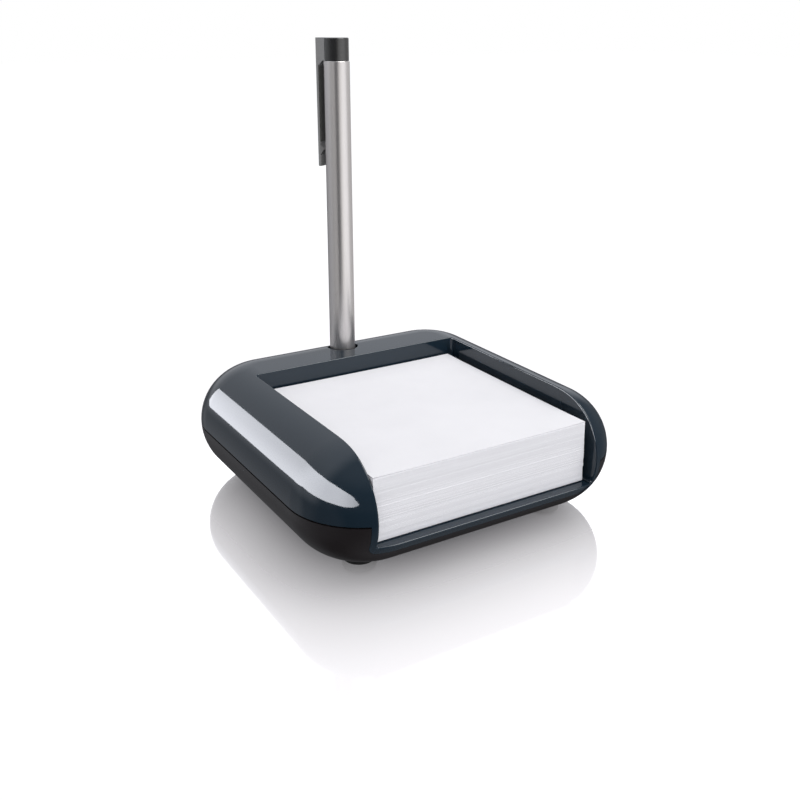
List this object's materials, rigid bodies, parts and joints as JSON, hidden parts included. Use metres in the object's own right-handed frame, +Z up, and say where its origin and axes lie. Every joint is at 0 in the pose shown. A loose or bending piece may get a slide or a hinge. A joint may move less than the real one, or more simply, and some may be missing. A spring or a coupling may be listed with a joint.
{
  "type": "note tray with pen",
  "caption": "Cushion-shaped desk tray, open at the front, that holds a stack of loose square notes, with a twist-action pen standing in a socket behind them.",
  "frame": {"origin": "on the desk, under the middle of the cushion's outline", "axes": "+Z up along the pen, -Y towards the open front where the notes come out, +X to the right seen from the front"},
  "size_m": [0.132, 0.1314, 0.1698],
  "materials": {
    "shell_gloss": "high gloss dark blue-grey moulding",
    "base_black": "satin black moulding",
    "sleeve_black": "matt black moulding",
    "foot_rubber": "matt black rubber",
    "screw_steel": "zinc-plated steel",
    "note_paper": "uncoated white paper",
    "pen_steel": "lengthwise brushed stainless steel",
    "pen_gunmetal": "dark grey satin plating",
    "clip_steel": "grey steel strip, lightly brushed",
    "works_plastic": "natural acetal",
    "refill_metal": "drawn tube",
    "point_brass": "turned brass"
  },
  "bodies": {
    "holder": {"top_shell": "shell_gloss", "base_shell": "base_black", "pen_sleeve": "sleeve_black", "foot_front_left": "foot_rubber", "foot_front_right": "foot_rubber", "foot_rear_left": "foot_rubber", "foot_rear_right": "foot_rubber", "shell_screws": "screw_steel"},
    "notes": {"note_stack": "note_paper"},
    "loose_note": {"top_note": "note_paper"},
    "pen": {"pen_barrel": "pen_steel", "pen_nose": "pen_steel", "cam_guide": "works_plastic", "return_spring": "screw_steel"},
    "cap": {"pen_cap": "pen_gunmetal", "pen_clip": "clip_steel", "twist_cam": "works_plastic"},
    "refill": {"plunger": "works_plastic", "refill_tube": "refill_metal", "refill_point": "point_brass"}
  },
  "joints": [
    {"name": "stack_lift", "type": "slide", "parent": "holder", "child": "notes", "axis": [0, 0, 1], "range_m": [0, 0.04]},
    {"name": "note_pull", "type": "slide", "parent": "notes", "child": "loose_note", "axis": [0, -1, 0], "range_m": [0, 0.1]},
    {"name": "pen_lift", "type": "slide", "parent": "holder", "child": "pen", "axis": [0, 0, 1], "range_m": [0, 0.03]},
    {"name": "cap_twist", "type": "hinge", "parent": "pen", "child": "cap", "pos_m": [0, 0.04551, 0.165], "axis": [0, 0, 1], "range_deg": [0, 180]},
    {"name": "refill_advance", "type": "slide", "parent": "pen", "child": "refill", "axis": [0, 0, -1], "range_m": [0, 0.0055], "deforming": ["return_spring"]}
  ],
  "couplings": [
    {"joint": "refill_advance", "follows": "cap_twist", "m_per_rad": 0.0017507}
  ]
}
